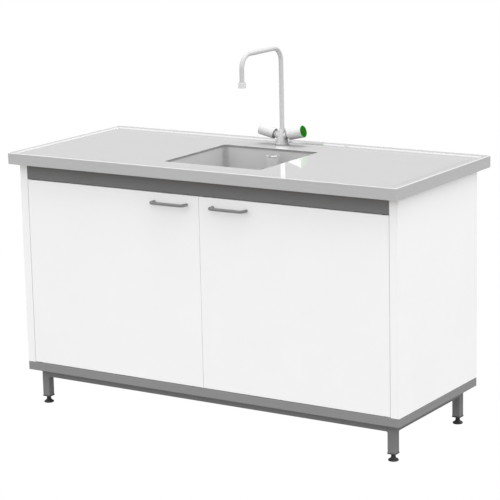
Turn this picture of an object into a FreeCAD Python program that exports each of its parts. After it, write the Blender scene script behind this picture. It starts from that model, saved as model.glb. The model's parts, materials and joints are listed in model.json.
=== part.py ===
import FreeCAD, Part
import math
import os
from types import SimpleNamespace

import Sketcher

# Laboratory sink unit: a two-door cabinet on a square-tube leg frame, with a stainless tray
# worktop, an under-mounted bowl with a lift-out overflow standpipe, a bottle trap and a
# two-knob swivel tap.  Millimetres.  The origin is on the floor under the centre of the
# worktop, +X to the right, +Y to the back, +Z up; the doors face -Y.

SIZES = {
    # overall
    "unit_width": 1500.0, "unit_depth": 650.0, "unit_height": 895.0,
    # worktop tray: raised rim round a sunk deck, folded from one sheet over a board
    "worktop_edge": 38.5, "rim_rise": 6.0, "rim_slope": 3.0, "rim_front": 20.0,
    "rim_back": 32.0, "rim_side": 18.0, "skin_gauge": 1.2, "skin_bend": 2.5,
    "skin_corner": 3.0, "return_lip": 14.0,
    # carcass
    "overhang_side": 18.0, "overhang_front": 41.0, "overhang_back": 64.0,
    "panel_board": 30.0, "base_level": 124.0, "base_rounding": 2.0, "apron_board": 16.0,
    "apron_level": 803.0, "rear_rail_board": 18.0, "rear_rail_height": 100.0,
    "rear_rail_setback": 42.0, "back_sheet": 6.0, "service_left": 180.0,
    "service_right": 240.0, "service_low": 330.0, "service_high": 718.0,
    "tap_notch_width": 90.0, "tap_notch_depth": 70.0,
    # leg frame of square tube
    "tube_side": 28.0, "tube_wall": 1.5, "tube_corner": 2.0, "frame_inset": 32.0,
    "frame_inset_back": 34.0, "leg_level": 23.0, "cap_side": 29.6, "cap_plate": 4.0,
    "cap_plug": 14.0,
    # levelling feet
    "foot_disc": 17.0, "foot_neck": 7.5, "foot_height": 20.0, "stem_radius": 4.0,
    "stem_clearance": 0.06, "stem_top": 76.0,
    # doors, pivots and handles
    "door_board": 16.0, "door_gap": 1.8, "door_meeting": 1.2, "door_corner": 0.8,
    "door_low": 156.3, "door_high": 800.0,
    "pivot_inboard": 21.0, "pivot_tongue": 15.0, "pivot_plate": 2.0, "pivot_pin": 3.0,
    "pin_length": 11.0, "pivot_clearance": 0.06, "bush_radius": 5.0, "bush_length": 12.0,
    "handle_centres": 128.0, "handle_radius": 5.0, "handle_standoff": 28.0,
    "handle_bend": 12.0, "handle_level": 769.0, "handle_mid_left": 111.0,
    "handle_mid_right": 119.0,
    # bowl
    "bowl_x": 0.0, "bowl_y": -18.0, "mouth_width": 377.0, "mouth_length": 372.0,
    "mouth_corner": 10.0, "bowl_reveal": 3.0, "bowl_depth": 240.0, "bowl_gauge": 1.5,
    "bowl_flange": 18.0, "bowl_corner": 14.0, "bowl_foot": 10.0, "seal_height": 7.5,
    # waste, standpipe and trap
    "waste_x": 35.0, "waste_y": 121.0, "waste_flange": 28.0, "waste_thread": 23.5,
    "waste_bore": 20.0, "waste_length": 46.0, "pipe_radius": 20.0, "pipe_wall": 2.0,
    "standpipe_radius": 21.0, "standpipe_wall": 2.5, "standpipe_top": 876.0,
    "standpipe_fit": 0.3, "trap_radius": 37.0, "trap_top": 548.0, "trap_low": 408.0,
    "trap_joint": 471.0, "trap_outlet": 508.0, "trap_outlet_end": 300.0, "trap_wall": 3.0,
    "dip_level": 432.0, "pipe_clearance": 0.3, "pipe_socket": 14.0, "nut_thread": 12.0,
    "nut_collar": 6.0,
    # tap
    "tap_x": 0.0, "tap_y": 241.5, "tap_flange": 23.5, "flange_height": 8.5,
    "cone_foot": 21.0, "cone_neck": 10.6, "cone_height": 57.0, "swivel_depth": 26.0,
    "spout_radius": 8.0, "spout_wall": 1.2, "swivel_clearance": 0.08, "spout_bend": 48.0,
    "spout_rise": 338.0, "spout_reach": 248.5, "spout_end": 239.5, "nozzle_radius": 13.0,
    "nozzle_height": 18.5, "nozzle_socket": 8.0, "valve_level": 30.0, "valve_boss": 21.0,
    "knob_tilt": 15.0, "knob_start": 30.0, "knob_end": 88.0, "knob_inner": 18.4,
    "knob_outer": 21.0, "bonnet_radius": 11.6, "spindle_radius": 4.0,
    "spindle_clearance": 0.06, "shank_radius": 14.0, "shank_bore": 10.0,
    "tail_radius": 4.0, "tail_spread": 22.0, "tail_low": 700.0,
}

doc = FreeCAD.newDocument("laboratory_sink_unit")
nodes = {}


class Dim:
    """A size and the spreadsheet formula behind it, kept together through arithmetic."""

    def __init__(self, value, formula):
        self.value = float(value)
        self.formula = formula

    def join(self, sign, other, value):
        return Dim(value, f"({self.formula} {sign} {other.formula})")

    def __add__(self, other):
        other = as_dim(other)
        return self.join("+", other, self.value + other.value)

    def __sub__(self, other):
        other = as_dim(other)
        return self.join("-", other, self.value - other.value)

    def __mul__(self, other):
        other = as_dim(other)
        return self.join("*", other, self.value * other.value)

    def __truediv__(self, other):
        other = as_dim(other)
        return self.join("/", other, self.value / other.value)

    def __radd__(self, other):
        return as_dim(other) + self

    def __rsub__(self, other):
        return as_dim(other) - self

    def __rmul__(self, other):
        return as_dim(other) * self

    def __neg__(self):
        return as_dim(0) - self


def as_dim(term):
    return term if isinstance(term, Dim) else Dim(term, str(term))


def sizes_sheet():
    """The driving dimensions as aliased cells, and one Dim for each of them."""
    sheet = doc.addObject("Spreadsheet::Sheet", "Sizes")
    dims = {}
    for row, (alias, value) in enumerate(SIZES.items(), 1):
        sheet.set(f"A{row}", alias)
        sheet.set(f"B{row}", str(value))
        sheet.setAlias(f"B{row}", alias)
        dims[alias] = Dim(value, f"Sizes.{alias}")
    doc.recompute()
    return SimpleNamespace(**dims)


size = sizes_sheet()


# ---------------------------------------------------------------- helpers

def bind(thing, **formulas):
    for prop, dim in formulas.items():
        thing.setExpression(prop, as_dim(dim).formula)


def place(thing, x, y, z, rotation=None):
    """Put a thing at a point whose coordinates stay bound to the sheet."""
    point = [as_dim(term) for term in (x, y, z)]
    thing.Placement = FreeCAD.Placement(
        FreeCAD.Vector(*[dim.value for dim in point]), rotation or FreeCAD.Rotation())
    for axis, dim in zip("xyz", point):
        thing.setExpression(f"Placement.Base.{axis}", dim.formula)
    return thing


def box(name, x_span, y_span, z_span):
    """A block between two coordinates on each axis."""
    block = doc.addObject("Part::Box", name)
    spans = [[as_dim(term) for term in span] for span in (x_span, y_span, z_span)]
    bind(block, Length=spans[0][1] - spans[0][0], Width=spans[1][1] - spans[1][0],
         Height=spans[2][1] - spans[2][0])
    return place(block, *[span[0] for span in spans])


def cylinder(name, radius, height, x, y, z, rotation=None):
    rod = doc.addObject("Part::Cylinder", name)
    bind(rod, Radius=radius, Height=height)
    return place(rod, x, y, z, rotation)


def cut(name, base, *tools):
    """Base less every tool."""
    result = base
    for number, tool in enumerate(tools, 1):
        step = doc.addObject("Part::Cut", name if number == len(tools) else f"{name}_cut{number}")
        step.Base = result
        step.Tool = tool
        result = step
    return result


def fuse(name, *shapes):
    joined = doc.addObject("Part::MultiFuse", name)
    joined.Shapes = list(shapes)
    return joined


def group(name, members):
    """Separate solids that share one node, such as identical fasteners."""
    together = doc.addObject("Part::Compound", name)
    together.Links = list(members)
    return together


def node(label, thing):
    thing.Label = label
    nodes[label] = thing
    return thing


def origin_feature(body, role):
    return next(feature for feature in body.Origin.OriginFeatures if feature.Role == role)


def new_sketch(body, name, role):
    sketch = body.newObject("Sketcher::SketchObject", name)
    sketch.AttachmentSupport = (origin_feature(body, role), "")
    sketch.MapMode = "FlatFace"
    return sketch


def pin_point(sketch, line, end, x, y):
    """Fix one end of a sketch line at bound coordinates."""
    for kind, axis, dim in (("DistanceX", -2, as_dim(x)), ("DistanceY", -1, as_dim(y))):
        if dim.value == 0:
            sketch.addConstraint(Sketcher.Constraint("PointOnObject", line, end, axis))
        else:
            number = sketch.addConstraint(
                Sketcher.Constraint(kind, -1, 1, line, end, dim.value))
            sketch.setExpression(f"Constraints[{number}]", dim.formula)


def draw_outline(sketch, corners):
    """A closed outline whose corners are bound pairs of coordinates."""
    points = [FreeCAD.Vector(as_dim(x).value, as_dim(y).value, 0) for x, y in corners]
    first = sketch.GeometryCount
    for number, point in enumerate(points):
        following = points[(number + 1) % len(points)]
        sketch.addGeometry(Part.LineSegment(point, following), False)
    for number, (x, y) in enumerate(corners):
        line = first + number
        following = first + (number + 1) % len(points)
        sketch.addConstraint(Sketcher.Constraint("Coincident", line, 2, following, 1))
        pin_point(sketch, line, 1, x, y)


def draw_circle(sketch, radius):
    radius = as_dim(radius)
    ring = sketch.addGeometry(
        Part.Circle(FreeCAD.Vector(0, 0, 0), FreeCAD.Vector(0, 0, 1), radius.value), False)
    sketch.addConstraint(Sketcher.Constraint("Coincident", ring, 3, -1, 1))
    number = sketch.addConstraint(Sketcher.Constraint("Radius", ring, radius.value))
    sketch.setExpression(f"Constraints[{number}]", radius.formula)


def turned(name, profile, x=0, y=0, z=0, rotation=None):
    """A turned piece: (radius, height) corners spun about its own upright axis."""
    body = doc.addObject("PartDesign::Body", name)
    sketch = new_sketch(body, f"{name}_profile", "XZ_Plane")
    draw_outline(sketch, profile)
    spin = body.newObject("PartDesign::Revolution", f"{name}_spin")
    spin.Profile = sketch
    spin.ReferenceAxis = (sketch, ["V_Axis"])
    spin.Angle = 360
    sketch.Visibility = False
    return place(body, x, y, z, rotation)


def prism(name, corners, height, x=0, y=0, z=0, corner_radius=None):
    """A plate or block drawn flat and padded up, with rounded upright corners if asked."""
    body = doc.addObject("PartDesign::Body", name)
    sketch = new_sketch(body, f"{name}_outline", "XY_Plane")
    draw_outline(sketch, corners)
    pad = body.newObject("PartDesign::Pad", f"{name}_pad")
    pad.Profile = sketch
    bind(pad, Length=height)
    sketch.Visibility = False
    if corner_radius is not None:
        round_edges(body, pad, f"{name}_corners", corner_radius, is_upright)
    return place(body, x, y, z)


def is_upright(edge):
    start, end = edge.Vertexes[0].Point, edge.Vertexes[-1].Point
    return math.hypot(end.x - start.x, end.y - start.y) < 1e-6 < abs(end.z - start.z)


def round_edges(body, feature, name, radius, test):
    """Round the feature's edges that pass the test."""
    doc.recompute()
    edges = [f"Edge{number}" for number, edge in enumerate(feature.Shape.Edges, 1) if test(edge)]
    if not edges:
        raise RuntimeError(f"{name}: no edge to round")
    fillet = body.newObject("PartDesign::Fillet", name)
    fillet.Base = (feature, edges)
    bind(fillet, Radius=radius)
    return fillet


def rectangle(x_span, y_span):
    (left, right), (front, back) = x_span, y_span
    return [(left, front), (right, front), (right, back), (left, back)]


def hexagon(name, across_flats, height, bore, x, y, z, rotation=None):
    """A hexagon nut with a plain round bore."""
    prism_piece = doc.addObject("Part::Prism", f"{name}_hex")
    prism_piece.Polygon = 6
    bind(prism_piece, Circumradius=across_flats / math.sqrt(3), Height=height)
    place(prism_piece, x, y, z, rotation)
    hole = cylinder(f"{name}_bore", bore, height, x, y, z, rotation)
    return cut(name, prism_piece, hole)


def add_ribs(body, inner, outer, low, high, width, count):
    """Grip ribs between two radii and two heights, evenly round a turned piece."""
    inner, outer, low, high = (as_dim(term) for term in (inner, outer, low, high))
    sketch = new_sketch(body, f"{body.Name}_rib_outline", "XY_Plane")
    sketch.AttachmentOffset = FreeCAD.Placement(FreeCAD.Vector(0, 0, low.value),
                                                FreeCAD.Rotation())
    sketch.setExpression("AttachmentOffset.Base.z", low.formula)
    draw_outline(sketch, rectangle((inner, outer), (-width / 2, width / 2)))
    rib = body.newObject("PartDesign::Pad", f"{body.Name}_rib")
    rib.Profile = sketch
    bind(rib, Length=high - low)
    ring = body.newObject("PartDesign::PolarPattern", f"{body.Name}_ribs")
    ring.Originals = [rib]
    ring.Axis = (origin_feature(body, "Z_Axis"), [""])
    ring.Angle = 360
    ring.Occurrences = count
    body.Tip = ring
    sketch.Visibility = False
    return body


def bent_tube(name, role, legs, bends, radius, bore=None):
    """A round bar or tube swept along straight legs joined by tangent quarter arcs.

    The path lies in an origin plane and starts at the body's own origin.  Each leg is a
    direction, (1, 0), (-1, 0), (0, 1) or (0, -1), and the coordinate that it ends at.
    """
    body = doc.addObject("PartDesign::Body", name)
    path = new_sketch(body, f"{name}_path", role)
    corners = [(as_dim(0), as_dim(0))]
    for (across, up), goal in legs:
        last = corners[-1]
        corners.append((as_dim(goal), last[1]) if across else (last[0], as_dim(goal)))
    cuts = [as_dim(0)] + [as_dim(bend) for bend in bends] + [as_dim(0)]
    lines = []
    for number, ((across, up), _) in enumerate(legs):
        begin, end = corners[number], corners[number + 1]
        first = (begin[0] + across * cuts[number], begin[1] + up * cuts[number])
        final = (end[0] - across * cuts[number + 1], end[1] - up * cuts[number + 1])
        lines.append(path.addGeometry(Part.LineSegment(
            FreeCAD.Vector(first[0].value, first[1].value, 0),
            FreeCAD.Vector(final[0].value, final[1].value, 0)), False))
        pin_point(path, lines[-1], 1, *first)
        pin_point(path, lines[-1], 2, *final)
    for number, bend in enumerate(bends):
        add_bend(path, lines[number], lines[number + 1], legs[number][0],
                 legs[number + 1][0], corners[number + 1], as_dim(bend))
    section_role = {"XZ_Plane": "XY_Plane", "YZ_Plane": "XY_Plane", "XY_Plane": "XZ_Plane"}
    section = new_sketch(body, f"{name}_section", section_role[role])
    draw_circle(section, radius)
    if bore is not None:
        draw_circle(section, bore)
    sweep = body.newObject("PartDesign::AdditivePipe", f"{name}_sweep")
    sweep.Profile = section
    sweep.Spine = path
    path.Visibility = False
    section.Visibility = False
    return body


def add_bend(path, before, after, way_in, way_out, corner, bend):
    """The quarter arc that joins two straight legs of a path."""
    centre = FreeCAD.Vector(
        corner[0].value + bend.value * (way_out[0] - way_in[0]),
        corner[1].value + bend.value * (way_out[1] - way_in[1]), 0)
    first = FreeCAD.Vector(corner[0].value - bend.value * way_in[0],
                           corner[1].value - bend.value * way_in[1], 0)
    final = FreeCAD.Vector(corner[0].value + bend.value * way_out[0],
                           corner[1].value + bend.value * way_out[1], 0)
    middle = centre + ((first + final) * 0.5 - centre).normalize() * bend.value
    arc = path.addGeometry(Part.Arc(first, middle, final), False)
    turn = way_in[0] * way_out[1] - way_in[1] * way_out[0]
    arc_in, arc_out = (1, 2) if turn > 0 else (2, 1)
    path.addConstraint(Sketcher.Constraint("Tangent", arc, arc_in, before, 2))
    path.addConstraint(Sketcher.Constraint("Coincident", arc, arc_out, after, 1))


# ---------------------------------------------------------------- shared levels and faces

half_width = size.unit_width / 2
half_depth = size.unit_depth / 2
deck = size.unit_height - size.rim_rise
worktop_low = size.unit_height - size.worktop_edge
carcass_top = worktop_low + size.skin_gauge
base_top = size.base_level + size.panel_board
side_out = half_width - size.overhang_side
side_in = side_out - size.panel_board
front_face = size.overhang_front - half_depth
back_face = half_depth - size.overhang_back
rail_low = size.base_level - size.tube_side
leg_out = side_out - size.frame_inset
leg_in = leg_out - size.tube_side
leg_front = front_face + size.frame_inset
leg_back = back_face - size.frame_inset_back
leg_low = size.leg_level + size.cap_plate
bowl_top = deck - size.skin_gauge - size.seal_height
bowl_floor = bowl_top - size.bowl_depth
CORNERS = {
    "front_left": (-leg_out, leg_front, 1, 1), "front_right": (leg_out, leg_front, -1, 1),
    "rear_left": (-leg_out, leg_back, 1, -1), "rear_right": (leg_out, leg_back, -1, -1),
}
SIDES = {"left": -1, "right": 1}


# ---------------------------------------------------------------- leg frame and feet

ALONG_X = FreeCAD.Rotation(FreeCAD.Vector(0, 1, 0), 90)
ALONG_Y = FreeCAD.Rotation(FreeCAD.Vector(1, 0, 0), -90)
UPSIDE_DOWN = FreeCAD.Rotation(FreeCAD.Vector(1, 0, 0), 180)


def square_tube(name, length, x, y, z, rotation=None):
    """Square hollow section with rounded outer corners, its axis starting at a point."""
    half = size.tube_side / 2
    hollow = half - size.tube_wall
    body = doc.addObject("PartDesign::Body", name)
    section = new_sketch(body, f"{name}_section", "XY_Plane")
    draw_outline(section, rectangle((-half, half), (-half, half)))
    draw_outline(section, rectangle((-hollow, hollow), (-hollow, hollow)))
    pad = body.newObject("PartDesign::Pad", f"{name}_pad")
    pad.Profile = section
    bind(pad, Length=length)
    section.Visibility = False
    round_edges(body, pad, f"{name}_corners", size.tube_corner,
                lambda edge: is_upright(edge) and edge.BoundBox.XMax ** 2 > hollow.value ** 2 + 1
                and edge.BoundBox.XMin ** 2 > hollow.value ** 2 + 1)
    return place(body, x, y, z, rotation)


def leg_frame():
    """The welded frame: four legs, a long rail front and rear, and three bars between them."""
    half = size.tube_side / 2
    level = size.base_level - half
    front, back = leg_front + half, leg_back - half
    span = front + half
    for name, y in (("front", front), ("rear", back)):
        node(f"frame_rail_{name}", square_tube(f"frame_rail_{name}", leg_in * 2, -leg_in, y,
                                               level, ALONG_X))
    bars = [square_tube(f"crossbar_{name}", back - front - size.tube_side, x, span, level, ALONG_Y)
            for name, x in (("left", half - leg_out), ("middle", 0), ("right", leg_out - half))]
    node("frame_crossbars", group("frame_crossbars", bars))
    legs = [square_tube(f"leg_{corner}", size.base_level - leg_low, *leg_axis(corner), leg_low)
            for corner in CORNERS]
    node("frame_legs", group("frame_legs", legs))


def leg_axis(corner):
    x, y, inward_x, inward_y = CORNERS[corner]
    half = size.tube_side / 2
    return x + inward_x * half, y + inward_y * half


def leg_ends():
    """Plastic end caps, plugged into the legs and threaded for the feet."""
    half_cap = size.cap_side / 2
    half_plug = size.tube_side / 2 - size.tube_wall
    caps = []
    for corner in CORNERS:
        x, y = leg_axis(corner)
        plate = prism(f"cap_plate_{corner}", rectangle((-half_cap, half_cap),
                                                       (-half_cap, half_cap)),
                      size.cap_plate, x, y, size.leg_level, size.tube_corner)
        plug = box(f"cap_plug_{corner}", (x - half_plug, x + half_plug),
                   (y - half_plug, y + half_plug), (leg_low, leg_low + size.cap_plug))
        thread = cylinder(f"cap_thread_{corner}", size.stem_radius + size.stem_clearance,
                          size.cap_plate + size.cap_plug, x, y, size.leg_level)
        caps.append(cut(f"cap_{corner}", fuse(f"cap_solid_{corner}", plate, plug), thread))
    node("leg_end_caps", group("leg_end_caps", caps))


def levelling_feet():
    """Each foot is a bell-shaped pad moulded on its threaded stem."""
    neck, disc, stem = size.foot_neck, size.foot_disc, size.stem_radius
    profile = [(0, 0), (disc - 1, 0), (disc, 1), (disc, 3.2), (disc - 1.4, 5), (neck + 3.6, 7.4),
               (neck + 1.2, 10), (neck, 13.5), (neck, size.foot_height - 1),
               (neck - 1, size.foot_height), (stem, size.foot_height), (stem, size.stem_top - 1),
               (stem - 1, size.stem_top), (0, size.stem_top)]
    for corner in CORNERS:
        node(f"foot_{corner}", turned(f"foot_{corner}", profile, *leg_axis(corner), 0))


# ---------------------------------------------------------------- carcass

def carcass():
    depth = (front_face, back_face)
    inner_back = back_face - size.back_sheet
    base = prism("base_board", rectangle((-side_out, side_out), depth),
                 base_top - size.base_level, z=size.base_level,
                 corner_radius=size.base_rounding)
    round_edges(base, base.Tip, "base_board_edges", size.base_rounding,
                lambda edge: not is_upright(edge))
    node("base_board", base)
    node("side_panel_left", box("side_panel_left", (-side_out, -side_in), depth,
                                (base_top, carcass_top)))
    node("side_panel_right", box("side_panel_right", (side_in, side_out), depth,
                                 (base_top, carcass_top)))
    node("apron", box("apron", (-side_in, side_in), (front_face, front_face + size.apron_board),
                      (size.apron_level, carcass_top)))
    rail_back = inner_back - size.rear_rail_setback
    node("rear_rail", box("rear_rail", (-side_in, side_in),
                          (rail_back - size.rear_rail_board, rail_back),
                          (carcass_top - size.rear_rail_height, carcass_top)))
    sheet = box("back_sheet", (-side_in, side_in), (inner_back, back_face),
                (base_top, carcass_top))
    service = box("service_cutout", (-size.service_left, size.service_right),
                  (inner_back, back_face), (size.service_low, size.service_high))
    half_notch = size.tap_notch_width / 2
    notch = box("tap_nut_notch", (size.tap_x - half_notch, size.tap_x + half_notch),
                (inner_back, back_face), (carcass_top - size.tap_notch_depth, carcass_top))
    node("back_panel", cut("back_panel", sheet, service, notch))


# ---------------------------------------------------------------- worktop

def mouth(grow=0):
    """The bowl's mouth as two spans, grown by a margin on every side."""
    half_w, half_l = size.mouth_width / 2 + grow, size.mouth_length / 2 + grow
    return ((size.bowl_x - half_w, size.bowl_x + half_w),
            (size.bowl_y - half_l, size.bowl_y + half_l))


def deck_recess(name, grow, low, high):
    """The sunk deck's outline as a tapered block: the rim's slope runs round its sides."""
    slope = size.rim_slope
    rise = size.rim_rise
    left, right = size.rim_side - half_width - grow, half_width - size.rim_side + grow
    front, back = size.rim_front - half_depth - grow, half_depth - size.rim_back + grow
    recess = doc.addObject("Part::Wedge", name)
    bind(recess, Xmin=left + slope, Xmax=right - slope, X2min=left, X2max=right,
         Ymin=0, Ymax=rise, Zmin=-(back - slope), Zmax=-(front + slope),
         Z2min=-back, Z2max=-front)
    upright = FreeCAD.Rotation(FreeCAD.Vector(1, 0, 0), 90)
    place(recess, 0, 0, low, upright)
    above = box(f"{name}_above", (left, right), (front, back), (low + rise, high))
    return fuse(f"{name}_whole", recess, above)


def worktop():
    gauge = size.skin_gauge
    above = size.unit_height + 10
    outside = prism("tray_outside", rectangle((-half_width, half_width),
                                              (-half_depth, half_depth)),
                    size.worktop_edge, z=worktop_low, corner_radius=size.skin_corner)
    round_edges(outside, outside.Tip, "tray_outside_bend", size.skin_bend,
                lambda edge: edge.BoundBox.ZMin > size.worktop_edge.value - 1e-3)
    hollow = cut("tray_hollow",
                 box("tray_inside", (gauge - half_width, half_width - gauge),
                     (gauge - half_depth, half_depth - gauge),
                     (carcass_top, size.unit_height - gauge)),
                 deck_recess("recess_under", gauge, deck - gauge, above))
    lip = size.return_lip
    opening_below = box("tray_opening", (lip - half_width, half_width - lip),
                        (lip - half_depth, half_depth - lip), (worktop_low, carcass_top))
    mouth_hole = prism("tray_mouth", rectangle(*mouth()), size.worktop_edge, z=worktop_low,
                       corner_radius=size.mouth_corner)
    tap_hole = cylinder("tray_tap_hole", size.shank_radius + 1, size.worktop_edge,
                        size.tap_x, size.tap_y, worktop_low)
    node("worktop_skin", cut("worktop_skin", outside, deck_recess("recess", 0, deck, above),
                             hollow, opening_below, mouth_hole, tap_hole))

    cutout = mouth(size.bowl_reveal + size.bowl_gauge + size.bowl_flange + 2)
    board = box("core_board", (gauge - half_width, half_width - gauge),
                (gauge - half_depth, half_depth - gauge), (carcass_top, deck - gauge))
    core_mouth = box("core_mouth", *cutout, (carcass_top, deck - gauge))
    core_tap = cylinder("core_tap_hole", size.shank_radius + 2, size.worktop_edge,
                        size.tap_x, size.tap_y, carcass_top)
    node("worktop_core", cut("worktop_core", board, core_mouth, core_tap))

    level = (deck - gauge, size.unit_height - gauge)
    side = size.rim_side - gauge
    front = (gauge - half_depth, size.rim_front - half_depth - gauge)
    back = (half_depth - size.rim_back + gauge, half_depth - gauge)
    across = (gauge - half_width, half_width - gauge)
    strips = [
        box("rim_strip_front", across, front, level),
        box("rim_strip_back", across, back, level),
        box("rim_strip_left", (gauge - half_width, side - half_width), (front[1], back[0]), level),
        box("rim_strip_right", (half_width - side, half_width - gauge), (front[1], back[0]), level),
    ]
    node("rim_strips", group("rim_strips", strips))


def bowl_battens():
    """Wooden strips in the core's cut-out, which clamp the bowl's flange up to the skin."""
    outer = mouth(size.bowl_reveal + size.bowl_gauge + size.bowl_flange + 2)
    inner = mouth(size.bowl_reveal + size.bowl_gauge + 1)
    level = (carcass_top, bowl_top - size.bowl_gauge)
    strips = [
        box("batten_front", outer[0], (outer[1][0], inner[1][0]), level),
        box("batten_back", outer[0], (inner[1][1], outer[1][1]), level),
        box("batten_left", (outer[0][0], inner[0][0]), inner[1], level),
        box("batten_right", (inner[0][1], outer[0][1]), inner[1], level),
    ]
    node("bowl_battens", group("bowl_battens", strips))


def worktop_brackets():
    """Steel angles that screw the worktop to the side panels."""
    leg, wide, gauge = 40.0, 30.0, 2.0
    angles = []
    for side, hand in SIDES.items():
        for number, middle in enumerate((-150.0, 150.0), 1):
            y_span = (as_dim(middle - wide / 2), as_dim(middle + wide / 2))
            if hand > 0:
                flat = box(f"angle_flat_{side}_{number}", (side_in - leg, side_in), y_span,
                           (carcass_top - gauge, carcass_top))
                wall = box(f"angle_wall_{side}_{number}", (side_in - gauge, side_in), y_span,
                           (carcass_top - leg, carcass_top))
            else:
                flat = box(f"angle_flat_{side}_{number}", (-side_in, leg - side_in), y_span,
                           (carcass_top - gauge, carcass_top))
                wall = box(f"angle_wall_{side}_{number}", (-side_in, gauge - side_in), y_span,
                           (carcass_top - leg, carcass_top))
            angles.append(fuse(f"angle_{side}_{number}", flat, wall))
    node("worktop_brackets", group("worktop_brackets", angles))


# ---------------------------------------------------------------- bowl, waste and trap

def bowl():
    """A pressed bowl: a rounded pan under a flat flange, with the waste hole at the back."""
    gauge = size.bowl_gauge
    inner = mouth(size.bowl_reveal)
    outer = mouth(size.bowl_reveal + gauge)
    pan = prism("bowl_pan", rectangle(*outer), bowl_top - bowl_floor + gauge,
                z=bowl_floor - gauge, corner_radius=size.bowl_corner + gauge)
    round_foot(pan, "bowl_pan_foot", size.bowl_foot + gauge)
    hollow = prism("bowl_hollow", rectangle(*inner), size.bowl_depth + 1, z=bowl_floor,
                   corner_radius=size.bowl_corner)
    round_foot(hollow, "bowl_hollow_foot", size.bowl_foot)
    flange = prism("bowl_flange",
                   rectangle(*mouth(size.bowl_reveal + gauge + size.bowl_flange)), gauge,
                   z=bowl_top - gauge, corner_radius=size.bowl_corner)
    waste_hole = cylinder("bowl_waste_hole", size.waste_thread + 0.5, gauge * 4,
                          size.waste_x, size.waste_y, bowl_floor - gauge * 2)
    node("bowl", cut("bowl", fuse("bowl_solid", pan, flange), hollow, waste_hole))
    seal_outside = prism("seal_outside",
                         rectangle(*mouth(size.bowl_reveal + gauge + size.bowl_flange)),
                         size.seal_height, z=bowl_top, corner_radius=size.bowl_corner)
    seal_inside = prism("seal_inside", rectangle(*mouth(size.bowl_reveal)), size.seal_height,
                        z=bowl_top, corner_radius=size.bowl_corner)
    node("bowl_seal", cut("bowl_seal", seal_outside, seal_inside))


def round_foot(body, name, radius):
    """Round the edges round a prism's underside."""
    round_edges(body, body.Tip, name, radius, lambda edge: edge.BoundBox.ZMax < 1e-3)


def waste_and_trap():
    x, y = size.waste_x, size.waste_y
    gauge = size.bowl_gauge
    thread, bore = size.waste_thread, size.waste_bore
    node("waste_body", turned("waste_body", [
        (bore, -size.waste_length), (thread, -size.waste_length), (thread, 0),
        (size.waste_flange, 0), (size.waste_flange, 1), (bore + 2, 2.5), (bore, 1.5)],
        x, y, bowl_floor))
    gasket = 3.0
    node("waste_gasket", turned("waste_gasket", [
        (thread + 0.5, -gauge - gasket), (size.waste_flange - 2, -gauge - gasket),
        (size.waste_flange - 2, -gauge), (thread + 0.5, -gauge)], x, y, bowl_floor))
    nut = 10.0
    node("waste_nut", hexagon("waste_nut", as_dim(62.0), nut, thread, x, y,
                              bowl_floor - gauge - gasket - nut))
    bottle_trap(x, y)


def bottle_trap(x, y):
    """A dip pipe in a bottle with a screw cup, and an outlet pipe to the back."""
    pipe, wall, clearance = size.pipe_radius, size.pipe_wall, size.pipe_clearance
    bottle, thread = size.trap_radius, size.waste_thread
    outer, inner = bottle - size.trap_wall, bottle - size.trap_wall * 2
    low, joint, neck = size.trap_low, size.trap_joint, size.trap_top
    boss_end = y + bottle + 10

    outside = turned("trap_outside", [
        (0, joint - 14), (outer, joint - 14), (outer, joint + 0.5), (bottle - 1, joint + 0.5),
        (bottle - 1, joint + 3), (outer, joint + 5), (outer, neck - 26), (outer - 3, neck - 19),
        (thread, neck - 14), (thread, neck), (0, neck)], x, y, 0)
    boss = cylinder("trap_boss", thread, bottle + 10, x, y, size.trap_outlet, ALONG_Y)
    inside = turned("trap_inside", [
        (0, joint - 15), (inner, joint - 15), (inner, neck - 27), (inner - 3, neck - 21),
        (pipe + clearance, neck - 16), (pipe + clearance, neck + 1), (0, neck + 1)], x, y, 0)
    bore = cylinder("trap_boss_bore", pipe - wall, bottle + 11, x, y, size.trap_outlet, ALONG_Y)
    socket = cylinder("trap_boss_socket", pipe + clearance, size.pipe_socket + 1,
                      x, boss_end - size.pipe_socket, size.trap_outlet, ALONG_Y)
    node("trap_body", cut("trap_body", fuse("trap_solid", outside, boss), inside, bore, socket))

    cup = turned("trap_cup", [
        (0, low), (bottle - 14, low), (bottle - 5, low + 5), (bottle - 2, low + 14),
        (bottle - 2, joint - 17), (bottle, joint - 16), (bottle, joint), (outer, joint),
        (outer, joint - 14), (inner, joint - 14), (inner, low + 14), (inner - 3, low + 7),
        (bottle - 16, low + 3), (0, low + 3)], x, y, 0)
    node("trap_cup", add_ribs(cup, bottle - 1, bottle + 1.8, joint - 15, joint - 1.5, 3, 18))

    flange, top = 2.0, bowl_floor - size.waste_length
    node("trap_dip_pipe", turned("trap_dip_pipe", [
        (pipe - wall, size.dip_level), (pipe, size.dip_level), (pipe, top - flange),
        (pipe + 2.5, top - flange), (pipe + 2.5, top), (pipe - wall, top)], x, y, 0))
    start = boss_end - size.pipe_socket + 0.5
    length = size.trap_outlet_end - start
    stop = size.pipe_socket + size.nut_collar + 0.5
    node("trap_outlet_pipe", turned("trap_outlet_pipe", [
        (pipe - wall, 0), (pipe, 0), (pipe, stop), (pipe + 1.5, stop + 0.5),
        (pipe + 1.5, stop + 2.5), (pipe, stop + 3), (pipe, length - 1), (pipe - 1, length),
        (pipe - wall, length)], x, start, size.trap_outlet, ALONG_Y))
    node("trap_nuts", group("trap_nuts", [
        pipe_nut("neck_nut", x, y, neck),
        pipe_nut("outlet_nut", x, boss_end, size.trap_outlet, ALONG_Y),
        pipe_nut("waste_end_nut", x, y, top - flange, UPSIDE_DOWN),
    ]))


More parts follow.
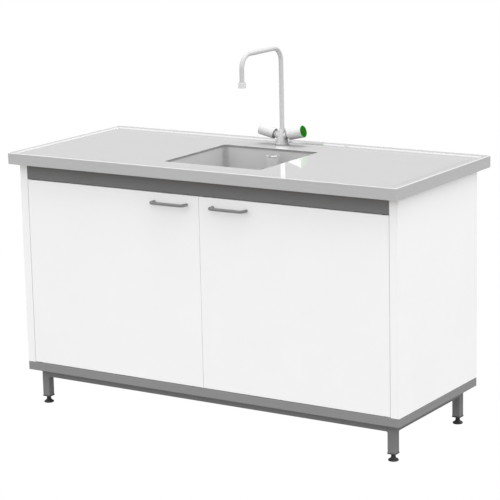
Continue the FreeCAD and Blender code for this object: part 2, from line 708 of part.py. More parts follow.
def pipe_nut(name, x, y, z, rotation=None):
    """A ribbed plastic nut: it screws down over a thread and closes round the pipe."""
    thread, bore = size.waste_thread, size.pipe_radius + size.pipe_clearance
    depth, collar, skin = size.nut_thread, size.nut_collar, 3.5
    nut = turned(name, [
        (thread, -depth), (thread + skin, -depth), (thread + skin, collar - 3),
        (thread, collar), (bore, collar), (bore, 0), (thread, 0)], x, y, z, rotation)
    return add_ribs(nut, thread + skin - 1, thread + skin + 1.8, 1 - depth, collar - 4, 3, 12)


def standpipe():
    """The overflow: a tube that stands in the waste and lifts out, notched round its top."""
    outer, wall = size.standpipe_radius, size.standpipe_wall
    spigot = size.waste_bore - size.standpipe_fit
    height = size.standpipe_top - bowl_floor
    tube = turned("standpipe_tube", [
        (spigot - wall, -22), (spigot - 0.8, -22), (spigot, -21), (spigot, 3.2), (outer, 3.2),
        (outer, height - 5), (outer + 1, height - 4), (outer + 1, height - 3),
        (outer - 1.5, height), (outer - wall, height), (outer - wall, 5.6),
        (spigot - wall, 4)], size.waste_x, size.waste_y, bowl_floor)
    wide, deep = 8.0, 9.0
    reach = outer + 2
    along_x = box("notch_along_x", (size.waste_x - reach, size.waste_x + reach),
                  (size.waste_y - wide / 2, size.waste_y + wide / 2),
                  (size.standpipe_top - deep, size.standpipe_top + 1))
    along_y = box("notch_along_y", (size.waste_x - wide / 2, size.waste_x + wide / 2),
                  (size.waste_y - reach, size.waste_y + reach),
                  (size.standpipe_top - deep, size.standpipe_top + 1))
    node("standpipe", cut("standpipe", tube, along_x, along_y))


# ---------------------------------------------------------------- tap

def knob_turn(hand):
    """Turns an upright piece along a valve's axis, which rises outwards."""
    return FreeCAD.Rotation(FreeCAD.Vector(0, 1, 0), hand * (90 - size.knob_tilt.value))


def tap():
    x, y = size.tap_x, size.tap_y
    flange, lift = size.tap_flange, size.flange_height
    gasket, gasket_radius = 1.5, size.tap_flange - 3
    cone = turned("tap_cone", [
        (0, gasket), (gasket_radius, gasket), (gasket_radius, 0), (flange, 0),
        (flange, lift - 2), (flange - 0.8, lift - 0.6), (flange - 2, lift),
        (size.cone_foot, lift), (size.cone_neck, size.cone_height), (0, size.cone_height)],
        x, y, deck)
    bosses = [cylinder(f"tap_boss_{side}", 12.5, size.valve_boss, x, y, deck + size.valve_level,
                       knob_turn(hand)) for side, hand in SIDES.items()]
    bore_level = size.cone_height - size.swivel_depth
    swivel_bore = cylinder("tap_swivel_bore", size.spout_radius + size.swivel_clearance,
                           size.swivel_depth + 1, x, y, deck + bore_level)
    node("tap_body", cut("tap_body", fuse("tap_solid", cone, *bosses), swivel_bore))
    node("tap_gasket", turned("tap_gasket", [
        (size.shank_radius, 0), (gasket_radius, 0), (gasket_radius, gasket),
        (size.shank_radius, gasket)], x, y, deck))
    node("tap_shank", turned("tap_shank", [
        (size.shank_bore, -70), (size.shank_radius, -70), (size.shank_radius, gasket),
        (size.shank_bore, gasket)], x, y, deck))
    collar, nut = 2.5, 9.0
    ring = turned("tap_nut_collar", [
        (size.shank_radius, -collar), (size.tap_flange, -collar), (size.tap_flange, 0),
        (size.shank_radius, 0)], x, y, carcass_top)
    hexagonal = hexagon("tap_nut_hexagon", as_dim(38.0), nut, size.shank_radius, x, y,
                        carcass_top - collar - nut)
    node("tap_nut", fuse("tap_nut", ring, hexagonal))
    tap_tails(x, y, gasket)
    tap_valves(x, y)
    tap_spout(x, y, bore_level + 0.3)


def tap_tails(x, y, start):
    """Copper supply tails, which leave the shank side by side and then spread."""
    radius, start_x, bend = size.tail_radius, size.tail_radius + 0.6, 8.0
    turn_level = -120.0
    fall = size.tail_low - deck - start
    tails, unions = [], []
    for side, hand in SIDES.items():
        tail = bent_tube(f"tail_{side}", "XZ_Plane", [
            ((0, -1), turn_level), ((hand, 0), hand * (size.tail_spread - start_x)),
            ((0, -1), fall)], [bend, bend], radius, radius - 1)
        tails.append(place(tail, x + hand * start_x, y, deck + start))
        unions.append(tail_union(side, x + hand * size.tail_spread, y, size.tail_low))
    node("supply_tails", group("supply_tails", tails))
    node("tail_unions", group("tail_unions", unions))


def tail_union(side, x, y, z):
    """The threaded stub on a tail's end, with its hexagon and the gland that grips the tail."""
    tail, thread, stub, hexagonal = size.tail_radius, 10.4, 14.0, 9.0
    return fuse(
        f"union_{side}",
        turned(f"union_stub_{side}", [
            (tail - 1, -stub), (thread, -stub), (thread, 0), (tail - 1, 0)], x, y, z),
        hexagon(f"union_hexagon_{side}", as_dim(24.0), hexagonal, tail, x, y, z),
        turned(f"union_gland_{side}", [
            (tail, hexagonal), (8, hexagonal), (8, hexagonal + 4), (6, hexagonal + 6),
            (tail, hexagonal + 6)], x, y, z))


def tap_valves(x, y):
    """Two valves: a bonnet on the body, and a knob with its spindle and colour disc."""
    z = deck + size.valve_level
    spindle, clearance = size.spindle_radius, size.spindle_clearance
    start, end, skirt = size.knob_start, size.knob_end, 8.0
    inner, outer, bonnet, boss = size.knob_inner, size.knob_outer, size.bonnet_radius, size.valve_boss
    disc, rim, groove = 1.2, size.knob_outer - 0.5, 1.6
    bonnets = []
    for name, hand in (("cold", -1), ("hot", 1)):
        turn = knob_turn(hand)
        bonnets.append(turned(f"bonnet_{name}", [
            (spindle + clearance, boss), (bonnet - 2.6, boss), (bonnet - 2.6, boss + groove),
            (bonnet, boss + groove), (bonnet, start + skirt - 1.5),
            (spindle + clearance, start + skirt - 1.5)], x, y, z, turn))
        node(f"spindle_{name}", cylinder(f"spindle_{name}", spindle, 44,
                                         *along_valve(hand, boss + 1), turn))
        node(f"knob_{name}", turned(f"knob_{name}", [
            (spindle, start + skirt), (bonnet + 0.6, start + skirt), (bonnet + 0.6, start),
            (inner - 0.8, start), (inner, start + 0.8), (outer, end - 0.6), (outer - 0.3, end),
            (rim, end), (rim, end - disc), (0, end - disc), (0, boss + 45),
            (spindle, boss + 45)], x, y, z, turn))
        node(f"disc_{name}", turned(f"disc_{name}", [
            (0, end - disc), (rim, end - disc), (rim, end - 0.2), (rim - 0.6, end + 0.2),
            (0, end + 0.2)], x, y, z, turn))
    node("valve_bonnets", group("valve_bonnets", bonnets))


def along_valve(hand, distance):
    """The point on a valve's axis at a distance from the tap's centre."""
    tilt = math.radians(size.knob_tilt.value)
    return (size.tap_x + hand * distance * math.cos(tilt), size.tap_y,
            deck + size.valve_level + distance * math.sin(tilt))


def tap_spout(x, y, start):
    """The swivel spout, bent from one tube, and the outlet nozzle on its end."""
    radius = size.spout_radius
    spout = bent_tube("spout", "YZ_Plane", [
        ((0, 1), size.spout_rise - start), ((-1, 0), -size.spout_reach),
        ((0, -1), size.spout_end - start)], [size.spout_bend, size.spout_bend],
        radius, radius - size.spout_wall)
    node("spout", place(spout, x, y, deck + start))
    height = size.nozzle_height
    nozzle, socket = size.nozzle_radius, size.nozzle_socket
    level = deck + size.spout_end + socket - height
    node("nozzle", turned("nozzle", [
        (radius - 2, 0), (nozzle - 1, 0), (nozzle, 1), (nozzle, height - 1),
        (nozzle - 1, height), (radius, height), (radius, height - socket),
        (radius - 1, height - socket), (radius - 1, 6), (radius - 2, 6)],
        x, y - size.spout_reach, level))
    node("aerator", turned("aerator", [
        (0, 1.5), (radius - 2, 1.5), (radius - 2, 6), (0, 6)], x, y - size.spout_reach, level))


# ---------------------------------------------------------------- doors

def pivot_point(hand):
    """A door's pivot axis, seen from above."""
    return hand * (side_in - size.pivot_inboard), front_face + size.door_board / 2


def door(side, hand):
    """An inset door on two pivots, with its bushes, handle and catch plate."""
    edges = sorted([as_dim(size.door_meeting / 2) * hand, (side_in - size.door_gap) * hand],
                   key=lambda edge: edge.value)
    back = front_face + size.door_board
    board = prism(f"door_board_{side}", rectangle(edges, (front_face, back)),
                  size.door_high - size.door_low, z=size.door_low,
                  corner_radius=size.door_corner)
    pivot_x, pivot_y = pivot_point(hand)
    length, bore = size.bush_length, size.pivot_pin + size.pivot_clearance
    levels = (size.door_low, size.door_high - length)
    seats = [cylinder(f"bush_seat_{side}_{number}", size.bush_radius, length,
                      pivot_x, pivot_y, level) for number, level in enumerate(levels, 1)]
    node(f"door_{side}", cut(f"door_{side}", board, *seats))
    bushes = [cut(f"bush_{side}_{number}",
                  cylinder(f"bush_outside_{side}_{number}", size.bush_radius, length,
                           pivot_x, pivot_y, level),
                  cylinder(f"bush_bore_{side}_{number}", bore, length, pivot_x, pivot_y, level))
              for number, level in enumerate(levels, 1)]
    node(f"pivot_bushes_{side}", group(f"pivot_bushes_{side}", bushes))
    strike = [edge * hand for edge in (15.0, 60.0)]
    plate = 1.2
    node(f"strike_plate_{side}", box(f"strike_plate_{side}", sorted(strike),
                                     (back, back + plate), (770.0, 795.0)))
    door_handle(side, hand)


def door_handle(side, hand):
    """A bow handle: a round bar bent back to the door at both ends."""
    middle = size.handle_mid_left if hand < 0 else size.handle_mid_right
    bar = bent_tube(f"handle_{side}", "XY_Plane", [
        ((0, -1), -size.handle_standoff), ((1, 0), size.handle_centres), ((0, 1), 0)],
        [size.handle_bend, size.handle_bend], size.handle_radius)
    start = hand * middle - size.handle_centres / 2
    node(f"handle_{side}", place(bar, start, front_face, size.handle_level))


def door_pivots():
    """Pivot plates: the upper pair screwed under the apron, the lower pair on the base."""
    half, plate = size.pivot_tongue / 2, size.pivot_plate
    pin, reach = size.pivot_pin, size.pin_length
    apron_back, wing = front_face + size.apron_board, 20.0
    upper, lower = [], []
    for side, hand in SIDES.items():
        x, y = pivot_point(hand)
        for pair, name, level, pin_level in (
                (upper, "upper", size.apron_level - plate, size.apron_level - plate - reach),
                (lower, "lower", base_top, base_top + plate)):
            pair.append(fuse(
                f"pivot_{name}_{side}",
                box(f"pivot_wing_{name}_{side}", (x - wing, x + wing), (y, apron_back),
                    (level, level + plate)),
                cylinder(f"pivot_nose_{name}_{side}", half, plate, x, y, level),
                cylinder(f"pivot_pin_{name}_{side}", pin, reach, x, y, pin_level)))
    node("upper_pivots", group("upper_pivots", upper))
    node("lower_pivots", group("lower_pivots", lower))


def magnetic_catches():
    """Catches screwed to the apron's back, with their heads hanging behind the doors."""
    apron_back, head, shelf = front_face + size.apron_board, 774.0, size.apron_level + 2
    front, deep = apron_back + 1.7, 16.0
    blocks = []
    for side, hand in SIDES.items():
        span = sorted(edge * hand for edge in (15.0, 60.0))
        blocks.append(fuse(
            f"catch_{side}",
            box(f"catch_head_{side}", span, (front, front + deep), (head, shelf)),
            box(f"catch_foot_{side}", span, (apron_back, front + deep), (shelf, shelf + 22))))
    node("magnetic_catches", group("magnetic_catches", blocks))


# ---------------------------------------------------------------- build and write

def check_document():
    """Stop at a failed object or a bad shape, because a recompute doesn't raise."""
    doc.recompute()
    failed = [f"{thing.Name}: {thing.getStatusString()}" for thing in doc.Objects
              if "Invalid" in thing.State or "Error" in thing.State]
    if failed:
        raise RuntimeError(f"failed objects: {failed}")
    for label, thing in nodes.items():
        if thing.Shape.isNull() or not thing.Shape.isValid() or not thing.Shape.Solids:
            raise RuntimeError(f"{label}: no valid solid")


def write_parts():
    os.makedirs("parts", exist_ok=True)
    for label, thing in nodes.items():
        thing.Shape.exportStep(f"parts/{label}.step")
        bounds = thing.Shape.BoundBox
        print(f"{label:22} solids {len(thing.Shape.Solids)} volume {thing.Shape.Volume:12.0f}"
              f"  x {bounds.XMin:8.1f} {bounds.XMax:8.1f}  y {bounds.YMin:8.1f}"
              f" {bounds.YMax:8.1f}  z {bounds.ZMin:8.1f} {bounds.ZMax:8.1f}")
    print(f"{len(nodes)} nodes")


leg_frame()
leg_ends()
levelling_feet()
carcass()
worktop()
bowl_battens()
worktop_brackets()
bowl()
waste_and_trap()
standpipe()
tap()
for side, hand in SIDES.items():
    door(side, hand)
door_pivots()
magnetic_catches()
check_document()
write_parts()
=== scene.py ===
"""Laboratory sink unit, dressed for a studio picture.

Lengths are in metres in the model's own frame: the origin is on the floor under the middle of
the worktop, +X to the right, +Y to the back, +Z up.  The doors face -Y.
"""
import json
import math

import bmesh
import bpy
from mathutils import Matrix, Vector


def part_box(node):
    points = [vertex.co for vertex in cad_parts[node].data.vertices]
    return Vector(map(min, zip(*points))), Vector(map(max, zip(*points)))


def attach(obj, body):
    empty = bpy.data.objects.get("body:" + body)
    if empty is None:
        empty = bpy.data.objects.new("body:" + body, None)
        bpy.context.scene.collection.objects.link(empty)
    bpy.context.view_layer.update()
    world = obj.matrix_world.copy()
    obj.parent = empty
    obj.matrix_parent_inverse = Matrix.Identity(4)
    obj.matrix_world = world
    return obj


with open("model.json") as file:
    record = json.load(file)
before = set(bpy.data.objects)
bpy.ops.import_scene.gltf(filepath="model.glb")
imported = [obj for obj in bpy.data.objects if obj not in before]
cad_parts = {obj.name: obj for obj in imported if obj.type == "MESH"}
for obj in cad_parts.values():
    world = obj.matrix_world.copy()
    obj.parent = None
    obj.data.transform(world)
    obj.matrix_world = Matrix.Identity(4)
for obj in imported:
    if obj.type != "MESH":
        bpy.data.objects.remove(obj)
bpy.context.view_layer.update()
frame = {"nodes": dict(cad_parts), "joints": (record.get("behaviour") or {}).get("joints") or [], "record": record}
nodes = frame["nodes"]

MM = 0.001

# ------------------------------------------------------------------ camera and light

CAMERA_AT = (3.67921, -5.74585, 2.06547)
CAMERA_YAW, CAMERA_PITCH, CAMERA_ROLL = 32.5429, 12.3912, -1.2436
LENS, SENSOR = 148.96, 36.0

NEAR_CLIP, FAR_CLIP = 0.1, 100

DOME = 1.78                     # brightness of the sky as the surfaces are lit by it
HORIZON_IN_GLOSS = 0.05         # and as it shows in gloss, near the horizon
SKY_IN_GLOSS = 1.0              # above that
ZENITH_IN_GLOSS = 0.3           # and overhead
HORIZON_ENDS = 0.24, 0.34       # sines of the elevations between which it brightens
ZENITH_STARTS = 0.70, 0.90      # and between which it dims again
FLOOR_GLOW = 0.44               # brightness of the floor as the surfaces are lit by it
FLOOR_IN_GLOSS = 0.20           # and as it shows in gloss
FLOOR_SIZE = 30                 # half its width
FLOOR_DROP = 0.5 * MM           # how far the floor lies below the feet
OVERHEAD = 0.46                 # light added to surfaces that face up, from a soft sun
OVERHEAD_SPREAD = 50            # the sun's width in degrees
OVERHEAD_TILT = 8               # and how far it leans to the right

DECK = 889.0 * MM               # height of the worktop's sunk deck
RIM_SIDE, RIM_FRONT, RIM_BACK = 21 * MM, 23 * MM, 35 * MM  # the rim's widths with its slope
BORDER = 30 * MM                # width of the deck's border along the raised rim, where the deck is painted darker as shade
BORDER_INNER = 0.95 * BORDER    # how far from the rim it starts to blend into the rest of the deck
BORDER_METALLIC = 0.15          # less metallic than the polished deck
BORDER_SHADE_TONE = 0.455             # its colour as a share of the deck's: painted shade beside the raised rim
FLATNESS = 0.2 * MM             # how close to the deck's height still counts as the deck
STEM_LOW = 20.2 * MM            # where the levelling feet's stems begin
THREAD_PITCH = 1.5 * MM
WAVE_PERIOD = math.pi / 10      # of the wave texture, in metres at a scale of 1
NOISE_LOW, NOISE_HIGH = 0.3, 0.7  # what most of a noise texture lies between
PAINTED_SHADE_SAMPLES = 8              # rays for each look into a hollow, for the shade painted there
SCREW_TURN = 0.7                # how much further each screw is turned than the one before


def make_camera():
    """The photograph's camera, solved from the unit's corners."""
    yaw, pitch, roll = (math.radians(a) for a in (CAMERA_YAW, CAMERA_PITCH, CAMERA_ROLL))
    ahead = Vector((-math.sin(yaw) * math.cos(pitch), math.cos(yaw) * math.cos(pitch),
                    -math.sin(pitch)))
    level = Vector((math.cos(yaw), math.sin(yaw), 0))
    upright = level.cross(ahead)
    right = math.cos(roll) * level + math.sin(roll) * upright
    up = math.cos(roll) * upright - math.sin(roll) * level
    lens = bpy.data.cameras.new("camera")
    lens.lens, lens.sensor_width = LENS, SENSOR
    lens.clip_start, lens.clip_end = NEAR_CLIP, FAR_CLIP
    camera = bpy.data.objects.new("camera", lens)
    bpy.context.scene.collection.objects.link(camera)
    camera.matrix_world = (Matrix.Translation(CAMERA_AT)
                           @ Matrix((right, up, -ahead)).transposed().to_4x4())
    bpy.context.scene.camera = camera


def sky_band(tree, height, band, low, high):
    """A brightness that goes smoothly from low to high across a band of heights of the sky."""
    change = tree.nodes.new("ShaderNodeMapRange")
    change.interpolation_type = "SMOOTHSTEP"
    ends = zip(("From Min", "From Max", "To Min", "To Max"), (*band, low, high))
    for name, value in ends:
        change.inputs[name].default_value = value
    tree.links.new(height, change.inputs["Value"])
    return change.outputs["Result"]


def make_light():
    """A pale dome, which shows dimmer in gloss at the horizon and overhead, and a soft sun."""
    world = bpy.data.worlds.new("studio")
    bpy.context.scene.world = world
    world.use_nodes = True
    tree = world.node_tree
    tree.nodes.clear()
    path = tree.nodes.new("ShaderNodeLightPath")
    direction = tree.nodes.new("ShaderNodeTexCoord")
    parts = tree.nodes.new("ShaderNodeSeparateXYZ")
    sky = tree.nodes.new("ShaderNodeMath")
    sky.operation = "MULTIPLY"
    shades = {name: tree.nodes.new("ShaderNodeBackground")
              for name in ("seen", "lighting", "in_gloss")}
    shades["lighting"].inputs["Strength"].default_value = DOME
    gloss_or_light = tree.nodes.new("ShaderNodeMixShader")
    seen_or_other = tree.nodes.new("ShaderNodeMixShader")
    output = tree.nodes.new("ShaderNodeOutputWorld")
    link = tree.links.new
    link(direction.outputs["Generated"], parts.inputs[0])
    height = parts.outputs["Z"]
    link(sky_band(tree, height, HORIZON_ENDS, HORIZON_IN_GLOSS, SKY_IN_GLOSS), sky.inputs[0])
    link(sky_band(tree, height, ZENITH_STARTS, 1.0, ZENITH_IN_GLOSS), sky.inputs[1])
    link(sky.outputs["Value"], shades["in_gloss"].inputs["Strength"])
    link(path.outputs["Is Glossy Ray"], gloss_or_light.inputs[0])
    link(shades["lighting"].outputs[0], gloss_or_light.inputs[1])
    link(shades["in_gloss"].outputs[0], gloss_or_light.inputs[2])
    link(path.outputs["Is Camera Ray"], seen_or_other.inputs[0])
    link(gloss_or_light.outputs[0], seen_or_other.inputs[1])
    link(shades["seen"].outputs[0], seen_or_other.inputs[2])
    link(seen_or_other.outputs[0], output.inputs["Surface"])

    sun = bpy.data.lights.new("overhead", "SUN")
    sun.energy = OVERHEAD * math.pi
    sun.angle = math.radians(OVERHEAD_SPREAD)
    lamp = bpy.data.objects.new("overhead", sun)
    lamp.rotation_euler = (0, math.radians(OVERHEAD_TILT), 0)
    bpy.context.scene.collection.objects.link(lamp)


def make_floor():
    """A plain white floor: full white to the camera, dimmer as a light and in gloss."""
    sheet = bmesh.new()
    bmesh.ops.create_grid(sheet, x_segments=1, y_segments=1, size=FLOOR_SIZE)
    floor = add_mesh("floor", sheet)
    paint = bpy.data.materials.new("floor_white")
    paint.use_nodes = True
    tree = paint.node_tree
    tree.nodes.clear()
    path = tree.nodes.new("ShaderNodeLightPath")
    lighting = tree.nodes.new("ShaderNodeMapRange")
    lighting.inputs["To Min"].default_value = FLOOR_GLOW
    lighting.inputs["To Max"].default_value = FLOOR_IN_GLOSS
    brightness = tree.nodes.new("ShaderNodeMath")
    brightness.operation = "MAXIMUM"
    glow = tree.nodes.new("ShaderNodeEmission")
    output = tree.nodes.new("ShaderNodeOutputMaterial")
    tree.links.new(path.outputs["Is Glossy Ray"], lighting.inputs["Value"])
    tree.links.new(path.outputs["Is Camera Ray"], brightness.inputs[0])
    tree.links.new(lighting.outputs["Result"], brightness.inputs[1])
    tree.links.new(brightness.outputs[0], glow.inputs["Strength"])
    tree.links.new(glow.outputs[0], output.inputs["Surface"])
    floor.data.materials.append(paint)
    floor.location.z = -FLOOR_DROP


# ------------------------------------------------------------------ materials

class Paint:
    """A procedural material: a principled shader with textures in the model's own metres."""

    def __init__(self, name, roughness, metallic=0.0, specular=0.5):
        self.material = bpy.data.materials.new(name)
        self.material.use_nodes = True
        self.tree = self.material.node_tree
        self.tree.nodes.clear()
        self.shader = self.add("BsdfPrincipled")
        self.shader.inputs["Roughness"].default_value = roughness
        self.shader.inputs["Metallic"].default_value = metallic
        self.shader.inputs["Specular IOR Level"].default_value = specular
        output = self.add("OutputMaterial")
        self.link(self.shader, "BSDF", output, "Surface")
        self.place = self.add("TexCoord")

    def add(self, kind):
        return self.tree.nodes.new("ShaderNode" + kind)

    def link(self, source, out, target, into):
        self.tree.links.new(source.outputs[out], target.inputs[into])

    def stretched(self, stretch):
        mapping = self.add("Mapping")
        mapping.inputs["Scale"].default_value = stretch
        self.link(self.place, "Object", mapping, "Vector")
        return mapping

    def noise(self, scale, stretch=(1, 1, 1), detail=3.0):
        """Noise of `scale` features a metre, drawn out along an axis by a small stretch."""
        texture = self.add("TexNoise")
        texture.inputs["Scale"].default_value = scale
        texture.inputs["Detail"].default_value = detail
        self.link(self.stretched(stretch), "Vector", texture, "Vector")
        return texture

    def tones(self, texture, out, stops):
        """Colour from a texture, by (position, (r, g, b)) stops."""
        ramp = self.add("ValToRGB")
        points = ramp.color_ramp.elements
        while len(points) < len(stops):
            points.new(0.5)
        for point, (position, colour) in zip(points, stops):
            point.position = position
            point.color = (*colour, 1)
        self.link(texture, out, ramp, "Fac")
        self.link(ramp, "Color", self.shader, "Base Color")

    def scaled(self, source, out, ends, results=(0.0, 1.0)):
        """A number that goes between two results while its source goes between two ends."""
        change = self.add("MapRange")
        change.inputs["From Min"].default_value, change.inputs["From Max"].default_value = ends
        change.inputs["To Min"].default_value, change.inputs["To Max"].default_value = results
        self.link(source, out, change, "Value")
        return change

    def math(self, operation, *sources):
        """A Math node of (node, output) pairs and plain numbers."""
        result = self.add("Math")
        result.operation = operation
        for place, source in enumerate(sources):
            if isinstance(source, tuple):
                self.link(*source, result, place)
            else:
                result.inputs[place].default_value = source
        return result

    def roughness(self, texture, low, high):
        """Roughness from a noise, mostly between low and high."""
        uneven = self.scaled(texture, "Fac", (NOISE_LOW, NOISE_HIGH), (low, high))
        self.link(uneven, "Result", self.shader, "Roughness")

    def paint_shade_in_hollows(self, reach, depth=1.0):
        """Painted shade: less colour in corners and under things, within a reach in metres, more so by a larger
        depth.
        """
        shadow = self.add("AmbientOcclusion")
        shadow.samples = PAINTED_SHADE_SAMPLES
        shadow.inputs["Distance"].default_value = reach
        self.multiply_colour(self.math("POWER", (shadow, "AO"), depth), "Value")

    def bump(self, texture, depth, out="Fac"):
        """Relief of a depth in metres from a texture, added to what relief there is."""
        relief = self.add("Bump")
        relief.inputs["Strength"].default_value = 1.0
        relief.inputs["Distance"].default_value = depth
        self.link(texture, out, relief, "Height")
        for earlier in self.shader.inputs["Normal"].links:
            self.tree.links.new(earlier.from_socket, relief.inputs["Normal"])
        self.link(relief, "Normal", self.shader, "Normal")

    def by_height(self, low, high):
        """A number that rises from 0 to 1 between two heights in metres."""
        parts = self.add("SeparateXYZ")
        self.link(self.place, "Object", parts, "Vector")
        return self.scaled(parts, "Z", (low, high))

    def shaded_border(self, low, high):
        """A darker, less metallic border inside the edges of the deck, which lies between two corners; the darker
        colour is painted shade beside the raised rim.
        """
        middle = [(a + b) / 2 for a, b in zip(low, high)]
        half = [(b - a) / 2 for a, b in zip(low, high)]
        centred, folded, gap = (self.add("VectorMath") for _ in range(3))
        centred.operation, folded.operation, gap.operation = "SUBTRACT", "ABSOLUTE", "SUBTRACT"
        centred.inputs[1].default_value = (*middle, DECK)
        gap.inputs[0].default_value = (*half, 0)
        self.link(self.place, "Object", centred, 0)
        self.link(centred, "Vector", folded, 0)
        self.link(folded, "Vector", gap, 1)
        sides = self.add("SeparateXYZ")
        self.link(gap, "Vector", sides, "Vector")
        nearest = self.math("MINIMUM", (sides, "X"), (sides, "Y"))
        within = self.scaled(nearest, "Value", (BORDER, BORDER_INNER))
        on_deck = self.math("COMPARE", (sides, "Z"), 0, FLATNESS)
        both = self.math("MULTIPLY", (within, "Result"), (on_deck, "Value"))
        polished = self.shader.inputs["Metallic"].default_value
        polish = self.scaled(both, "Value", (0.0, 1.0), (polished, BORDER_METALLIC))
        self.link(polish, "Result", self.shader, "Metallic")
        # the border's darker colour is painted shade beside the raised rim
        tone = self.scaled(both, "Value", (0.0, 1.0), (1.0, BORDER_SHADE_TONE))
        self.multiply_colour(tone, "Result")

    def multiply_colour(self, source, out):
        """The colour so far times a number, by the colour sockets of a Mix node."""
        product = self.add("Mix")
        product.data_type, product.blend_type = "RGBA", "MULTIPLY"
        product.inputs[0].default_value = 1.0
        colour = self.shader.inputs["Base Color"].links[0].from_socket
        self.tree.links.new(colour, product.inputs[6])
        self.tree.links.new(source.outputs[out], product.inputs[7])
        self.tree.links.new(product.outputs[2], self.shader.inputs["Base Color"])


def grey(level):
    return level, level, level


def shade(colour, factor):
    return tuple(channel * factor for channel in colour)


def two_tone(paint, colour, spread, scale, stretch=(1, 1, 1), detail=3.0):
    """Colour that drifts a little round its mean."""
    drift = paint.noise(scale, stretch, detail)
    paint.tones(drift, "Fac", [(NOISE_LOW, shade(colour, 1 - spread)),
                               (NOISE_HIGH, shade(colour, 1 + spread))])
    return drift


def steel(name, colour, metallic, roughness, grain=(3, 420, 420), spread=0.012,
          hollow_shade=None, shaded_border=None):
    """Stainless steel with a fine grain drawn out along X, and painted shade along a border and in hollows where
    asked.
    """
    paint = Paint(name, roughness, metallic, specular=0.0)
    two_tone(paint, colour, spread, 1.0, grain, 2.0)
    if shaded_border:
        paint.shaded_border(*shaded_border)
    if hollow_shade:
        paint.paint_shade_in_hollows(*hollow_shade)
    lines = paint.noise(1.0, tuple(2 * g for g in grain), 4.0)
    paint.roughness(lines, roughness * 0.85, roughness * 1.15)
    paint.bump(lines, 0.000003)
    return paint.material


def melamine(name, colour, roughness=0.45, spread=0.008):
    """Coated board: a faint pearl grain and a barely uneven tone."""
    paint = Paint(name, roughness, specular=0.35)
    two_tone(paint, colour, spread, 5.0)
    pearl = paint.noise(900, detail=1.0)
    paint.roughness(pearl, roughness * 0.9, roughness * 1.1)
    paint.bump(pearl, 0.000012)
    return paint.material


def powder_coat(name, colour, roughness=0.5, spread=0.02, hollow_shade=None):
    """Sprayed and baked coating with its orange peel, and painted shade in hollows where asked."""
    paint = Paint(name, roughness, specular=0.4)
    two_tone(paint, colour, spread, 40)
    if hollow_shade:
        paint.paint_shade_in_hollows(*hollow_shade)
    peel = paint.noise(700, detail=2.0)
    paint.roughness(peel, roughness * 0.85, roughness * 1.15)
    paint.bump(peel, 0.00002)
    return paint.material


def plated(name, colour, roughness=0.35, metallic=0.85, spread=0.06):
    """Plated or polished metal, a little clouded."""
    paint = Paint(name, roughness, metallic)
    cloud = two_tone(paint, colour, spread, 90)
    paint.roughness(cloud, roughness * 0.75, roughness * 1.25)
    return paint.material


def spark_texture(paint, low, high, depth=0.00001):
    """The fine spark-eroded surface of a mould."""
    sparks = paint.noise(1500, detail=2.0)
    paint.roughness(sparks, low, high)
    paint.bump(sparks, depth)


def moulded(name, colour, roughness=0.45, spread=0.03, texture_depth=0.00001, specular=0.5):
    """Moulded plastic or rubber."""
    paint = Paint(name, roughness, specular=specular)
    two_tone(paint, colour, spread, 60)
    spark_texture(paint, roughness * 0.85, roughness * 1.15, texture_depth)
    return paint.material


def foot_plastic(name, colour):
    """Black nylon whose stems carry a screw thread above the foot's disc."""
    paint = Paint(name, 0.5)
    two_tone(paint, colour, 0.03, 60)
    spark_texture(paint, 0.42, 0.58)
    turns = paint.add("TexWave")
    turns.bands_direction = "Z"
    turns.inputs["Scale"].default_value = WAVE_PERIOD / THREAD_PITCH
    paint.link(paint.place, "Object", turns, "Vector")
    on_stem = paint.by_height(STEM_LOW, STEM_LOW + 0.5 * MM)
    thread = paint.math("MULTIPLY", (turns, "Fac"), (on_stem, "Result"))
    paint.bump(thread, 0.5 * MM, "Value")
    return paint.material


def particle_board(name):
    """Pressed wood chips, light and dark."""
    paint = Paint(name, 0.85, specular=0.2)
    chips = paint.add("TexVoronoi")
    chips.inputs["Scale"].default_value = 260
    paint.link(paint.stretched((1, 1, 2.5)), "Vector", chips, "Vector")
    paint.tones(chips, "Color", [(0.0, (0.30, 0.19, 0.10)), (0.35, (0.55, 0.40, 0.24)),
                                 (0.7, (0.66, 0.51, 0.33)), (1.0, (0.76, 0.63, 0.44))])
    paint.bump(chips, 0.0002, "Distance")
    return paint.material


def softwood(name):
    """Planed battens with long grain."""
    paint = Paint(name, 0.7, specular=0.25)
    grain = paint.noise(1.0, (6, 160, 160), 5.0)
    paint.tones(grain, "Fac", [(0.3, (0.50, 0.33, 0.17)), (0.5, (0.68, 0.50, 0.30)),
                               (0.75, (0.76, 0.60, 0.40))])
    paint.bump(grain, 0.00008)
    return paint.material


